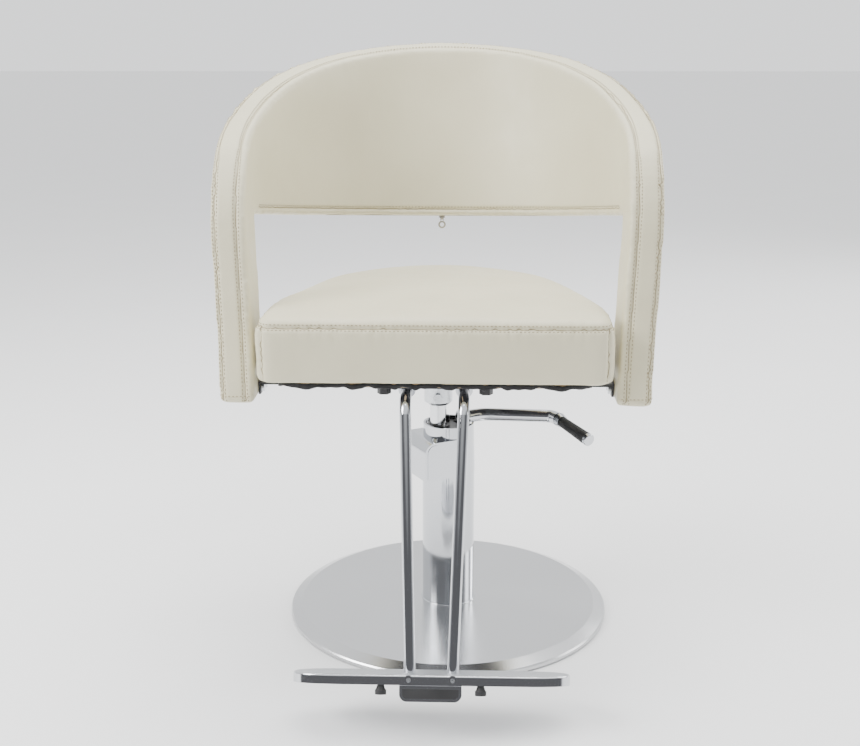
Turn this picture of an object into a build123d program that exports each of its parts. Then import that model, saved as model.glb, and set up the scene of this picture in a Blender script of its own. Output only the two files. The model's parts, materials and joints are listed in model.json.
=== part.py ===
"""Salon styling chair: an upholstered hoop and seat on a hydraulic pump with a round base.

Frame: millimetres, +Z up, origin on the floor under the centre of the round base.
The sitter faces -Y.  Pump parts are drawn in a frame turned by LEVER_HEADING, whose +X is
the way the pump lever leaves the column.  Seat parts are drawn about the swivel axis.
"""

import math
import os

from build123d import *

# ---------------------------------------------------------------- driving dimensions
# Round base
BASE_R = 258.0
BASE_TOP_Z = 16.0
BASE_COVER_WALL = 1.5
BASE_BEVEL = 19.0
BASE_BEVEL_DROP = 7.0
PAD_H = 3.0
PAD_INSET = 12.0
# Pump column
LEVER_HEADING = 29.0
COLUMN_R = 41.8
COLUMN_WALL = 1.5
COLUMN_H = 221.0
TANK_WALL = 2.4
TANK_FLOOR = 11.5
TRIM_RING_H = 2.0
TRIM_RING_LIP = 2.2
BASE_BOLT_R = 5.0
BASE_BOLT_CIRCLE_R = 25.0
# Piston, cylinder and their guides
ROD_R = 13.0
ROD_OFFSET = 18.6
RUN_FIT = 0.05
CYLINDER_BORE_R = 16.0
CYLINDER_WALL = 2.5
PISTON_H = 22.0
SPIGOT_R = 8.0
BEARING_H = 4.0
# Pump head and its cover
HEAD_BASE_H = 10.0
HEAD_BLOCK_R = 19.5
COVER_H = 79.0
COVER_TAPER = 2.0
COVER_WALL = 1.5
COVER_LIP = 3.3
BOX_REACH = 63.0
BOX_H = 61.0
BOX_ROUND = 17.0
ARCH_R = 12.5
ARCH_PROUD = 0.8
NOTCH_HALF = 14.0
# Lever, yoke and plunger
PIVOT_X = -46.0
PIVOT_RISE = 45.0
PIN_R = 4.0
YOKE_INNER = 23.0
YOKE_CHEEK = 6.5
YOKE_H = 10.0
YOKE_DROP = 4.0
ARM_R = 10.3
ARM_RISE = 38.0
ARM_BEND_R = 36.0
GRIP_R_START = 8.3
GRIP_R_END = 9.8
GRIP_RIBS = 16
PLUNGER_X = 22.0
PLUNGER_R = 5.0
PLUNGER_WALL = 3.5
PLUNGER_GAP = 0.5
PLUNGER_BOSS_H = 3.0
SPRING_TURNS = 4
SPRING_WIRE_R = 0.8
# Seat, drawn about the swivel axis
SOCKET_GAP = 33.0
SOCKET_R = 22.3
SOCKET_H = 80.0
PLATE_T = 5.0
PLATE_HALF_X = 95.0
PLATE_FRONT_Y = -208.0
PLATE_BACK_Y = 112.0
PLATE_BOLT_X = 72.0
PLATE_BOLT_R = 5.0
DUST_COVER_T = 1.5
BOARD_T = 14.0
BOARD_INSET = 30.0
BOARD_FORWARD = 16.0
CUSHION_SIDE_GAP = 5.1
CUSHION_FRONT_Y = -240.0
CUSHION_SIDE_Y = -150.0
CUSHION_BACK_Y = 228.0
CUSHION_LIFT = 6.5
CUSHION_H = 92.0
CUSHION_CORNER_R = 26.0
CUSHION_EDGE_R = 20.0
# Hoop: the wall that makes both arms and the backrest
HOOP_THICK = 48.0
HOOP_LOW_Z = 380.0
HOOP_HIGH_Z = 950.0
ARM_HALF_X_LOW = 300.6
ARM_HALF_X_HIGH = 330.2
HOOP_BACK_Y_LOW = 194.0
HOOP_BACK_Y_HIGH = 379.0
HOOP_BEND_Y = -51.0
HOOP_BOARD_T = 8.0
HOOP_BOARD_INSET = 6.0
ARM_BOTTOM_Z = 407.0
BRACKET_T = 3.0
BRACKET_FRONT_Y = -176.0
BRACKET_BACK_Y = -138.0
# Footrest
FOOT_SOCKET_X = 41.0
FOOT_SOCKET_R = 12.5
FOOT_SOCKET_FRONT_Y = -166.0
FOOT_SOCKET_BACK_Y = -22.0
TUBE_R = 8.0
TUBE_WALL = 1.8
TUBE_BEND_R = 30.0
TUBE_CORNER_Y = -225.0
FOOT_X = 29.0
FOOT_Y = -368.0
FOOT_Z = 77.5
FOOT_HALF_SPAN = 186.0
FOOT_FRONT = 35.0
FOOT_BACK = 44.0
FOOT_T = 13.0
FOOT_WALL = 3.5
FOOT_BOSS_R = 12.0
TAB_HALF_X = 41.0
TAB_H = 34.0
BUMPER_X = 66.0

ZIP_DEPTH = 10.0
ZIP_HALF_X = 190.0
ZIP_T = 1.4

# Lever arm, seen from above: where it leaves the yoke, in the pump's frame, then its bends.
ARM_START_X = 19.0
ARM_ELBOW_X = 62.0
ARM_KNEE_XY = (165.0, 22.0)
GRIP_START_XY = (175.0, 6.0)
GRIP_END_XY = (218.0, -60.0)
GRIP_DROP = 14.0

# Side view of the arms and the backrest: each point as (Y, height above the arm's bottom edge)
# and the way it moves, per millimetre, when the outline is taken in.
FRONT_FOOT = ((-215, 0), (1.3, 1.0))
FRONT_TOP = ((-147, 233), (1.0, -0.3))
SHOULDER = ((-91, 329), (0.6, -0.8))
TOP_LINE = [((4, 382), (0.5, -0.9)), ((146, 438), (0.4, -0.95)), ((315, 487), (0.3, -1.0))]
CREST = ((385, 504), (0.3, -1.0))
REAR_LOW = ((290, 204), (0.0, 1.0))
WINDOW_CORNER = ((-57, 248), (-1.3, 1.1))
BACK_FOOT = ((-128, 0), (-0.8, 1.0))

# ---------------------------------------------------------------- values that follow
COVER_BOTTOM_Z = BASE_TOP_Z + COLUMN_H
COVER_TOP_Z = COVER_BOTTOM_Z + COVER_H
COVER_R_BOTTOM = COLUMN_R + 0.5
COVER_R_TOP = COVER_R_BOTTOM - COVER_TAPER
BOX_TOP_Z = COVER_BOTTOM_Z + BOX_H
TANK_TOP_Z = COVER_BOTTOM_Z - 3
HEAD_Z = TANK_TOP_Z + HEAD_BASE_H
HEAD_BLOCK_TOP_Z = COVER_TOP_Z - 12
GUIDE_Z = HEAD_BLOCK_TOP_Z - 37
PIVOT_Z = COVER_BOTTOM_Z + PIVOT_RISE
NOTCH_BOTTOM_Z = PIVOT_Z
ARM_Z = PIVOT_Z + ARM_RISE
CYLINDER_R = CYLINDER_BORE_R + CYLINDER_WALL
COLUMN_INNER_R = COLUMN_R - COLUMN_WALL
TANK_R = COLUMN_INNER_R - 0.5
COVER_INNER_Z = BASE_TOP_Z - BASE_COVER_WALL
TANK_FLOOR_Z = COVER_INNER_Z + TANK_FLOOR
PISTON_Z = TANK_FLOOR_Z + 4
SOCKET_BOTTOM_Z = COVER_TOP_Z + SOCKET_GAP
PLATE_Z = SOCKET_BOTTOM_Z + SOCKET_H
ROD_TOP_Z = PLATE_Z - 19
DUST_Z = PLATE_Z + PLATE_T
BOARD_Z = DUST_Z + DUST_COVER_T
CUSHION_BOTTOM_Z = BOARD_Z + CUSHION_LIFT
CUSHION_TOP_Z = CUSHION_BOTTOM_Z + CUSHION_H
PLATE_BOLT_FRONT_Y = PLATE_FRONT_Y + 14
PLATE_BOLT_BACK_Y = PLATE_BACK_Y - 17
ARM_INNER_X = ARM_HALF_X_LOW - HOOP_THICK
CUSHION_HALF_X = ARM_INNER_X - CUSHION_SIDE_GAP
BRACKET_X = ARM_INNER_X + 1.0 - BRACKET_T
BRACKET_Z = PLATE_Z - 4
BRACKET_BOLT_Z = BRACKET_Z - 6.5
BRACKET_BOLT_Y = (BRACKET_FRONT_Y + 9, BRACKET_BACK_Y - 9)
FOOT_AXIS_Z = PLATE_Z - FOOT_SOCKET_R
COS_H = math.cos(math.radians(LEVER_HEADING))
SIN_H = math.sin(math.radians(LEVER_HEADING))
PUMP = Rot(0, 0, LEVER_HEADING)
ROD = Pos(-ROD_OFFSET, 0, 0)
SWIVEL_X = -ROD_OFFSET * COS_H
SWIVEL_Y = -ROD_OFFSET * SIN_H
SEAT = Pos(SWIVEL_X, SWIVEL_Y, 0)
ACROSS = Rot(0, 90, 0)
ALONG_Y = Rot(90, 0, 0)
ARM_START = Vector(ARM_START_X * COS_H, ARM_START_X * SIN_H, ARM_Z)
ARM_ELBOW = Vector(ARM_ELBOW_X * COS_H, ARM_ELBOW_X * SIN_H, ARM_Z)
ARM_KNEE = Vector(*ARM_KNEE_XY, ARM_Z)
GRIP_START = Vector(*GRIP_START_XY, ARM_Z)
GRIP_END = Vector(*GRIP_END_XY, ARM_Z - GRIP_DROP)
ARM_BOLT_REACH = (HOOP_THICK + HOOP_BOARD_T) / 2 - 2
ZIP_INSET = HOOP_THICK - ZIP_DEPTH
LEG_RISE = FOOT_AXIS_Z - FOOT_Z
LEG_RUN = TUBE_CORNER_Y - FOOT_Y
FOOT_FRAME = Plane((0, FOOT_Y, FOOT_Z), x_dir=(1, 0, 0), z_dir=(0, LEG_RUN, LEG_RISE))


# ---------------------------------------------------------------- small helpers
def rod(radius, low, high):
    """A cylinder standing on Z from low to high."""
    return Pos(0, 0, (low + high) / 2) * Cylinder(radius, high - low)


def ring(outer, inner, low, high):
    """A tube standing on Z from low to high."""
    return rod(outer, low, high) - rod(inner, low - 1, high + 1)


def cone(radius_low, radius_high, low, high):
    """A cone frustum standing on Z from low to high."""
    return Pos(0, 0, (low + high) / 2) * Cone(radius_low, radius_high, high - low)


def block(x, y, z):
    """A box from its ranges (low, high) along each axis."""
    centre = [(r[0] + r[1]) / 2 for r in (x, y, z)]
    return Pos(*centre) * Box(x[1] - x[0], y[1] - y[0], z[1] - z[0])


def hexagon(across_flats, low, high):
    """A hexagonal prism standing on Z, for bolt heads and nuts."""
    outline = RegularPolygon(across_flats / math.sqrt(3), 6)
    return extrude(Pos(0, 0, low) * outline, high - low)


def around(count, radius, shape, start=0.0):
    """Copies of a shape on a circle about Z, as a list."""
    return [Rot(0, 0, start + i * 360 / count) * Pos(radius, 0, 0) * shape for i in range(count)]


def cross_pin(radius, half_length):
    """A cylinder along Y, centred on the origin."""
    return ALONG_Y * Cylinder(radius, 2 * half_length)


def together(shapes):
    """Several separate solids in one node."""
    return Compound([solid for shape in shapes for solid in shape.solids()])


# ---------------------------------------------------------------- round base
def bolt_places(shape):
    return around(4, BASE_BOLT_CIRCLE_R, shape, start=LEVER_HEADING + 45)


def base_weight():
    low_r = BASE_R - BASE_COVER_WALL - 4
    flat_r = BASE_R - BASE_BEVEL - 1
    bevel_z = COVER_INNER_Z - BASE_BEVEL_DROP
    points = [(0, PAD_H), (low_r, PAD_H), (low_r, bevel_z), (flat_r, COVER_INNER_Z), (0, COVER_INNER_Z)]
    disc = revolve(Plane.XZ * make_face(Polyline(*points, close=True)), Axis.Z)
    for hole in bolt_places(rod(BASE_BOLT_R + 0.5, 0, COVER_INNER_Z + 1)):
        disc -= hole
    for pocket in bolt_places(rod(11.0, 0, PAD_H + 7)):
        disc -= pocket
    return disc


def base_cover():
    flat_r = BASE_R - BASE_BEVEL
    rim_z = BASE_TOP_Z - BASE_BEVEL_DROP
    wall = BASE_COVER_WALL
    points = [
        (COLUMN_INNER_R, BASE_TOP_Z),
        (flat_r, BASE_TOP_Z),
        (BASE_R - 1.5, rim_z),
        (BASE_R, rim_z - 2),
        (BASE_R, 2),
        (BASE_R - wall, 2),
        (BASE_R - wall, rim_z - 2.4),
        (BASE_R - 2.5, rim_z - 1.2),
        (flat_r - 0.5, COVER_INNER_Z),
        (COLUMN_INNER_R, COVER_INNER_Z),
    ]
    return revolve(Plane.XZ * make_face(Polyline(*points, close=True)), Axis.Z)


def floor_pad():
    pad = rod(BASE_R - PAD_INSET, 0, PAD_H)
    return fillet(pad.edges().group_by(Axis.Z)[0], 1.0)


def base_bolts():
    head = hexagon(17, PAD_H + 0.5, PAD_H + 7)
    shank = rod(BASE_BOLT_R, PAD_H + 7, TANK_FLOOR_Z - 2)
    return together(bolt_places(head + shank))


# ---------------------------------------------------------------- column and tank
def column_trim_ring():
    outer = COLUMN_R + TRIM_RING_LIP
    trim = ring(outer, COLUMN_INNER_R, BASE_TOP_Z, BASE_TOP_Z + TRIM_RING_H)
    top_outer = trim.edges().group_by(Axis.Z)[-1].sort_by(SortBy.RADIUS)[-1]
    return fillet(top_outer, 1.2)


def column_cover():
    return ring(COLUMN_R, COLUMN_INNER_R, BASE_TOP_Z + TRIM_RING_H, COVER_BOTTOM_Z)


def oil_tank():
    tank = ring(TANK_R, TANK_R - TANK_WALL, COVER_INNER_Z, TANK_TOP_Z)
    tank += rod(TANK_R - TANK_WALL + 0.2, COVER_INNER_Z, TANK_FLOOR_Z)
    for hole in bolt_places(rod(BASE_BOLT_R, COVER_INNER_Z - 1, TANK_FLOOR_Z - 2)):
        tank -= hole
    return tank


def main_cylinder():
    return PUMP * ROD * ring(CYLINDER_R, CYLINDER_BORE_R, TANK_FLOOR_Z, TANK_TOP_Z)


def plunger_barrel():
    low = TANK_TOP_Z - 78
    tube = ring(PLUNGER_R + PLUNGER_WALL, PLUNGER_R + RUN_FIT, low, TANK_TOP_Z)
    tube += ring(PLUNGER_R + PLUNGER_WALL, 1.5, low - 6, low)
    return PUMP * Pos(PLUNGER_X, 0, 0) * tube


# ---------------------------------------------------------------- pump head
def pump_head():
    half = TANK_R
    base = rod(half, TANK_TOP_Z, HEAD_Z)
    base += block((-BOX_REACH + 3, 0), (-half + 0.4, half - 0.4), (COVER_BOTTOM_Z, HEAD_Z))
    tower = ROD * rod(HEAD_BLOCK_R, HEAD_Z, HEAD_BLOCK_TOP_Z)
    boss = Pos(PLUNGER_X, 0, 0) * rod(PLUNGER_R + 4.5, HEAD_Z, HEAD_Z + PLUNGER_BOSS_H)
    head = base + tower + boss
    for side in (-1, 1):
        y = side * 34.0
        lug = block((PIVOT_X - 8, PIVOT_X + 8), (y - 3.7, y + 3.7), (HEAD_Z, PIVOT_Z))
        lug += Pos(PIVOT_X, y, PIVOT_Z) * cross_pin(8, 3.7)
        head += lug
    head -= Pos(PIVOT_X, 0, PIVOT_Z) * cross_pin(PIN_R, 45)
    head -= ROD * rod(ROD_R + 1.5, TANK_TOP_Z - 1, GUIDE_Z + 1)
    head -= ROD * rod(CYLINDER_BORE_R, GUIDE_Z, HEAD_BLOCK_TOP_Z + 1)
    head -= Pos(PLUNGER_X, 0, 0) * rod(PLUNGER_R + RUN_FIT, TANK_TOP_Z - 1, HEAD_Z + 9)
    return PUMP * head


def rod_guide_bush():
    return PUMP * ROD * ring(CYLINDER_BORE_R, ROD_R + RUN_FIT, GUIDE_Z, HEAD_BLOCK_TOP_Z - 4)


def rod_seal():
    seal = ring(CYLINDER_BORE_R, ROD_R + RUN_FIT / 2, HEAD_BLOCK_TOP_Z - 4, HEAD_BLOCK_TOP_Z)
    return PUMP * ROD * seal


def cover_body(shrink, low, high):
    """The head cover's outer shape, taken in all round by shrink."""
    body = cone(COVER_R_BOTTOM - shrink, COVER_R_TOP - shrink, low, high)
    half = COVER_R_BOTTOM - 0.3 - shrink
    box = block((-BOX_REACH + shrink, 0), (-half, half), (low, BOX_TOP_Z - shrink))
    edge = box.edges().filter_by(Axis.Y).sort_by(lambda e: e.center().X - e.center().Z)[0]
    box = fillet(edge, BOX_ROUND - shrink)
    return body + box


def arch_panel():
    """The raised door-shaped panel on both flat sides of the head cover."""
    half = COVER_R_BOTTOM - 0.3
    panels = []
    for side in (-1, 1):
        y = (side * (half - 0.5), side * (half + ARCH_PROUD))
        y = (min(y), max(y))
        legs = block((PIVOT_X - ARCH_R, PIVOT_X + ARCH_R), y, (COVER_BOTTOM_Z + 4, PIVOT_Z))
        top = Pos(PIVOT_X, sum(y) / 2, PIVOT_Z) * cross_pin(ARCH_R, (y[1] - y[0]) / 2)
        panels.append(legs + top)
    return panels


def head_cover():
    outer = cover_body(0, COVER_BOTTOM_Z, COVER_TOP_Z)
    inner = cover_body(COVER_WALL, COVER_BOTTOM_Z - 1, COVER_TOP_Z - 3)
    shell = outer - inner - rod(COVER_R_TOP - COVER_LIP, COVER_BOTTOM_Z, COVER_TOP_Z + 1)
    for panel in arch_panel():
        shell += panel - cover_body(COVER_WALL, COVER_BOTTOM_Z - 1, COVER_TOP_Z - 3)
    notch = block((24, 60), (-NOTCH_HALF, NOTCH_HALF), (NOTCH_BOTTOM_Z, COVER_TOP_Z + 1))
    return PUMP * (shell - notch)


def head_cap():
    cap = rod(COVER_R_TOP - COVER_LIP - 0.3, HEAD_BLOCK_TOP_Z, COVER_TOP_Z - 3.5)
    cap -= rod(COVER_R_TOP - COVER_LIP - 4, COVER_TOP_Z - 5, COVER_TOP_Z)
    cap += ROD * ring(ROD_R + 5, ROD_R + 0.8, COVER_TOP_Z - 6, COVER_TOP_Z - 1)
    cap -= ROD * rod(ROD_R + 0.8, PIVOT_Z, COVER_TOP_Z + 1)
    cap -= block((15, 60), (-NOTCH_HALF - 1, NOTCH_HALF + 1), (PIVOT_Z, COVER_TOP_Z + 1))
    return PUMP * cap


def oil_filler_plug():
    body = rod(5.5, COVER_TOP_Z - 5, COVER_TOP_Z + 6)
    body = fillet(body.edges().group_by(Axis.Z)[-1], 2.0)
    return PUMP * Pos(5.5, 18.0, 0) * body


def lever_pivot_pin():
    return PUMP * Pos(PIVOT_X, 0, PIVOT_Z) * cross_pin(PIN_R, 38.5)


# ---------------------------------------------------------------- plunger
def pump_plunger():
    top = PIVOT_Z - YOKE_DROP - PLUNGER_GAP
    stem = rod(PLUNGER_R, TANK_TOP_Z - 50, top - 4)
    head = rod(PLUNGER_R + 2.5, top - 4, top)
    head = fillet(head.edges().group_by(Axis.Z)[-1], 1.5)
    return PUMP * Pos(PLUNGER_X, 0, 0) * (stem + head)


def plunger_spring():
    low = HEAD_Z + PLUNGER_BOSS_H + SPRING_WIRE_R
    high = PIVOT_Z - YOKE_DROP - PLUNGER_GAP - 4 - SPRING_WIRE_R
    radius = PLUNGER_R + SPRING_WIRE_R + 0.5
    path = Helix(pitch=(high - low) / SPRING_TURNS, height=high - low, radius=radius)
    wire = Plane(path @ 0, z_dir=path % 0) * Circle(SPRING_WIRE_R)
    return PUMP * Pos(PLUNGER_X, 0, low) * sweep(wire, path, is_frenet=True)


# ---------------------------------------------------------------- lever
def lever_yoke():
    low = PIVOT_Z - YOKE_DROP
    high = low + YOKE_H
    outer_half = YOKE_INNER + YOKE_CHEEK
    plate = ROD * rod(outer_half, low, high)
    plate += block((PIVOT_X, -ROD_OFFSET), (-outer_half, outer_half), (low, high))
    plate += block((-ROD_OFFSET, 34), (-12, 12), (low, high))
    plate -= ROD * rod(YOKE_INNER, low - 1, high + 1)
    plate -= block((PIVOT_X - 20, -ROD_OFFSET), (-YOKE_INNER, YOKE_INNER), (low - 1, high + 1))
    for side in (-1, 1):
        y = side * (YOKE_INNER + YOKE_CHEEK / 2)
        plate += Pos(PIVOT_X, y, PIVOT_Z) * cross_pin(8, YOKE_CHEEK / 2)
    plate += block((19, 34), (-8, 8), (high - 1, ARM_Z))
    plate += Pos(26.5, 0, ARM_Z) * ACROSS * Cylinder(ARM_R + 2.2, 15)
    plate -= Pos(PIVOT_X, 0, PIVOT_Z) * cross_pin(PIN_R + RUN_FIT, 45)
    plate -= Pos(26.5, 0, ARM_Z) * ACROSS * Cylinder(ARM_R, 16)
    return PUMP * plate


def on_grip_axis(shape, along):
    """Places a shape drawn on Z so that its Z=0 lies along mm past the grip's start."""
    direction = (GRIP_END - GRIP_START).normalized()
    return Plane(GRIP_START + direction * along, z_dir=direction) * shape


def lever_arm():
    path = FilletPolyline(ARM_START, ARM_ELBOW, ARM_KNEE, GRIP_START, radius=[ARM_BEND_R, 16.0])
    return sweep(Plane(path @ 0, z_dir=path % 0) * Circle(ARM_R), path)


def lever_ferrule():
    ferrule = cone(ARM_R + 0.9, ARM_R - 0.4, 0, 9)
    return on_grip_axis(ferrule - rod(3, -1, 10), 2.0) - lever_arm()


def grip_length():
    return (GRIP_END - GRIP_START).length


def lever_grip():
    length = grip_length() - 16
    grip = cone(GRIP_R_START, GRIP_R_END, 0, length)
    lean = math.degrees(math.atan((GRIP_R_END - GRIP_R_START) / length))
    groove = Rot(0, lean, 0) * rod(0.9, -4, length + 4)
    for cut in around(GRIP_RIBS, GRIP_R_START + 0.3, groove):
        grip -= cut
    return on_grip_axis(grip - rod(3, -1, length + 1), 11.0)


def lever_tip_cap():
    cap = rod(GRIP_R_END, 0, 6)
    cap = fillet(cap.edges().group_by(Axis.Z)[-1], 1.6)
    stud = rod(3, -(grip_length() - 7), 0.5)
    return on_grip_axis(cap + stud, grip_length() - 5)


# ---------------------------------------------------------------- piston and swivel
def piston_head():
    low, high = PISTON_Z, PISTON_Z + PISTON_H
    body = rod(CYLINDER_BORE_R - RUN_FIT, low, high)
    body -= rod(SPIGOT_R + RUN_FIT, low + 4, high + 1)
    return PUMP * ROD * (body - seal_rings(grow=0.0))


def seal_rings(grow):
    """The piston's two seals, or the grooves that hold them."""
    outer = CYLINDER_BORE_R - 0.03
    one = ring(outer + grow, 13.2 - grow, 0, 3.5)
    return Pos(0, 0, PISTON_Z + 5) * one + Pos(0, 0, PISTON_Z + 13) * one


def piston_seals():
    return together([PUMP * ROD * seal_rings(grow=0.0)])


def thrust_bearing():
    low = PISTON_Z + PISTON_H
    return PUMP * ROD * ring(ROD_R - 0.3, SPIGOT_R + RUN_FIT, low, low + BEARING_H)


def piston_rod():
    shoulder = PISTON_Z + PISTON_H + BEARING_H
    shaft = rod(ROD_R, shoulder, ROD_TOP_Z)
    shaft = chamfer(shaft.edges().group_by(Axis.Z)[-1], 1.5)
    return PUMP * ROD * (shaft + rod(SPIGOT_R, PISTON_Z + 4.5, shoulder))


def swivel_socket():
    body = rod(SOCKET_R, SOCKET_BOTTOM_Z, PLATE_Z)
    body = chamfer(body.edges().group_by(Axis.Z)[0], 5.0, 6.0)
    body += block((-26, 26), (-45, 60), (PLATE_Z - 6, PLATE_Z))
    body -= rod(ROD_R, SOCKET_BOTTOM_Z - 1, ROD_TOP_Z)
    body -= set_screw(3.9, -40, -ROD_R + 1)
    return SEAT * body


def set_screw(radius, low, high):
    """A screw shank that presses on the rod from the front."""
    return Pos(0, 0, SOCKET_BOTTOM_Z + 15) * ALONG_Y * rod(radius, -high, -low)


def socket_set_screw():
    shank = set_screw(3.9, -SOCKET_R - 2, -ROD_R)
    head = Pos(0, 0, SOCKET_BOTTOM_Z + 15) * ALONG_Y * hexagon(13, SOCKET_R + 0.5, SOCKET_R + 5.5)
    return SEAT * (shank + head)


# ---------------------------------------------------------------- seat
def plate_bolt_places(shape):
    spots = [(x, y) for x in (-PLATE_BOLT_X, PLATE_BOLT_X) for y in (PLATE_BOLT_FRONT_Y, PLATE_BOLT_BACK_Y)]
    return [Pos(x, y, 0) * shape for x, y in spots]


def seat_plate():
    plate = block((-PLATE_HALF_X, PLATE_HALF_X), (PLATE_FRONT_Y, PLATE_BACK_Y), (PLATE_Z, DUST_Z))
    plate = fillet(plate.edges().filter_by(Axis.Z), 18)
    for hole in plate_bolt_places(rod(PLATE_BOLT_R + 0.5, PLATE_Z - 1, DUST_Z + 1)):
        plate -= hole
    for hole in bracket_bolt_places(rod(3.0, PLATE_Z - 1, DUST_Z + 1)):
        plate -= hole
    return SEAT * plate


def seat_plate_bolts():
    washer = rod(10.5, PLATE_Z - 1.6, PLATE_Z)
    head = hexagon(17, PLATE_Z - 10.2, PLATE_Z - 1.6)
    shank = rod(PLATE_BOLT_R, PLATE_Z - 1.6, BOARD_Z + BOARD_T - 2)
    return SEAT * together(plate_bolt_places(head + washer + shank))


def cushion_outline(inset):
    """The seat's plan: straight front and sides, and a back that draws in to a round end."""
    half = CUSHION_HALF_X - inset
    front = CUSHION_FRONT_Y + inset
    back = CUSHION_BACK_Y - inset
    side = CUSHION_SIDE_Y
    run = back - side
    right = [(x * half, side + y * run) for x, y in ((0.90, 0.31), (0.735, 0.63), (0.50, 0.85), (0.26, 0.96))]
    left = [(-x, y) for x, y in reversed(right)]
    bow = Spline((half, side), *right, (0, back), *left, (-half, side), tangents=[(0, 1), (0, -1)])
    edge = Line((-half, side), (-half, front)) + Line((-half, front), (half, front))
    return make_face(edge + Line((half, front), (half, side)) + bow)


def cushion_slab(inset, low, high, corner):
    slab = extrude(Pos(0, 0, low) * cushion_outline(inset), high - low)
    upright = slab.edges().filter_by(Axis.Z).group_by(Axis.Y)[0]
    return fillet(upright, corner)


def board_slab(inset, low, high):
    """The seat board's plan, taken in by a further inset."""
    return Pos(0, -BOARD_FORWARD, 0) * cushion_slab(BOARD_INSET + inset, low, high, CUSHION_CORNER_R - 6)


def dust_cover():
    tray = board_slab(-DUST_COVER_T, DUST_Z, CUSHION_BOTTOM_Z - 0.3) - board_slab(0, BOARD_Z, CUSHION_BOTTOM_Z)
    for hole in plate_bolt_places(rod(PLATE_BOLT_R + 0.5, DUST_Z - 1, BOARD_Z + 1)):
        tray -= hole
    return SEAT * tray


def seat_board():
    board = board_slab(0, BOARD_Z, BOARD_Z + BOARD_T)
    for hole in plate_bolt_places(rod(PLATE_BOLT_R, BOARD_Z - 1, BOARD_Z + BOARD_T - 2)):
        board -= hole
    return SEAT * board


def seat_cushion():
    pad = cushion_slab(0, CUSHION_BOTTOM_Z, CUSHION_TOP_Z, CUSHION_CORNER_R)
    pad = fillet(pad.edges().group_by(Axis.Z)[-1], CUSHION_EDGE_R)
    return SEAT * (pad - board_slab(0, BOARD_Z, BOARD_Z + BOARD_T))


# ---------------------------------------------------------------- hoop
def hoop_plan(z, inset):
    """Plan outline at height z of a solid whose skin is the hoop's outside, moved in by inset."""
    share = (z - HOOP_LOW_Z) / (HOOP_HIGH_Z - HOOP_LOW_Z)
    half = ARM_HALF_X_LOW + share * (ARM_HALF_X_HIGH - ARM_HALF_X_LOW) - inset
    back = HOOP_BACK_Y_LOW + share * (HOOP_BACK_Y_HIGH - HOOP_BACK_Y_LOW) - inset
    front = -330.0
    bow = EllipticalCenterArc((0, HOOP_BEND_Y), half, back - HOOP_BEND_Y, start_angle=0, arc_size=180)
    sides = Polyline((-half, HOOP_BEND_Y), (-half, front), (half, front), (half, HOOP_BEND_Y))
    return Pos(0, 0, z) * make_face(bow + sides)


def hoop_core(inset):
    return loft([hoop_plan(HOOP_LOW_Z, inset), hoop_plan(HOOP_HIGH_Z, inset)], ruled=True)


def hoop_wall(outer_inset, inner_inset):
    """The hoop's wall between two depths measured from its outside."""
    return hoop_core(outer_inset) - hoop_core(inner_inset)


def profile_point(point, inset):
    (y, height), (move_y, move_z) = point
    return (y + move_y * inset, ARM_BOTTOM_Z + height + move_z * inset)


def side_profile(inset):
    """Side view outline of the hoop as a (Y, Z) face, taken in by inset."""
    foot, top, shoulder, crest, rear, corner, back_foot = (
        profile_point(p, inset)
        for p in (FRONT_FOOT, FRONT_TOP, SHOULDER, CREST, REAR_LOW, WINDOW_CORNER, BACK_FOOT)
    )
    top_line = [profile_point(p, inset) for p in TOP_LINE]
    rise = (top[0] - foot[0], top[1] - foot[1])
    nose = TangentArc(top, shoulder, tangent=rise)
    edge = Line(foot, top) + nose
    edge += Spline(shoulder, *top_line, crest, tangents=[nose % 1, (1, 0.26)])
    return make_face(edge + Polyline(crest, rear, corner, back_foot, foot))


def across_slab(face):
    """Stretches a (Y, Z) outline across the whole width of the chair."""
    return extrude(Plane.YZ * face, 400, both=True)


def hoop_board_solid():
    middle = (HOOP_THICK - HOOP_BOARD_T) / 2
    return hoop_wall(middle, middle + HOOP_BOARD_T) & across_slab(side_profile(HOOP_BOARD_INSET))


def both_arms(shapes):
    """Shapes drawn for the right arm, and their mirror images."""
    return shapes + [mirror(s, Plane.YZ) for s in shapes]


def arm_bolt_places(shape):
    """Shapes drawn along +X from the bracket's outer face, at each arm bolt."""
    return both_arms([Pos(BRACKET_X + BRACKET_T, y, BRACKET_BOLT_Z) * shape for y in BRACKET_BOLT_Y])


def bracket_bolt_places(shape):
    """Shapes standing on Z at each screw that holds an arm bracket to the seat plate."""
    return both_arms([Pos(PLATE_HALF_X - 15, y, 0) * shape for y in BRACKET_BOLT_Y])


def hoop_board():
    board = hoop_board_solid()
    for hole in arm_bolt_places(ACROSS * rod(3.0, -5, ARM_BOLT_REACH)):
        board -= hole
    return SEAT * board


def hoop_pad():
    pad = hoop_wall(0, HOOP_THICK) & across_slab(side_profile(0))
    pad -= hoop_board_solid()
    for hole in arm_bolt_places(ACROSS * rod(3.3, -5, ARM_BOLT_REACH + 1)):
        pad -= hole
    return SEAT * pad


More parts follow.
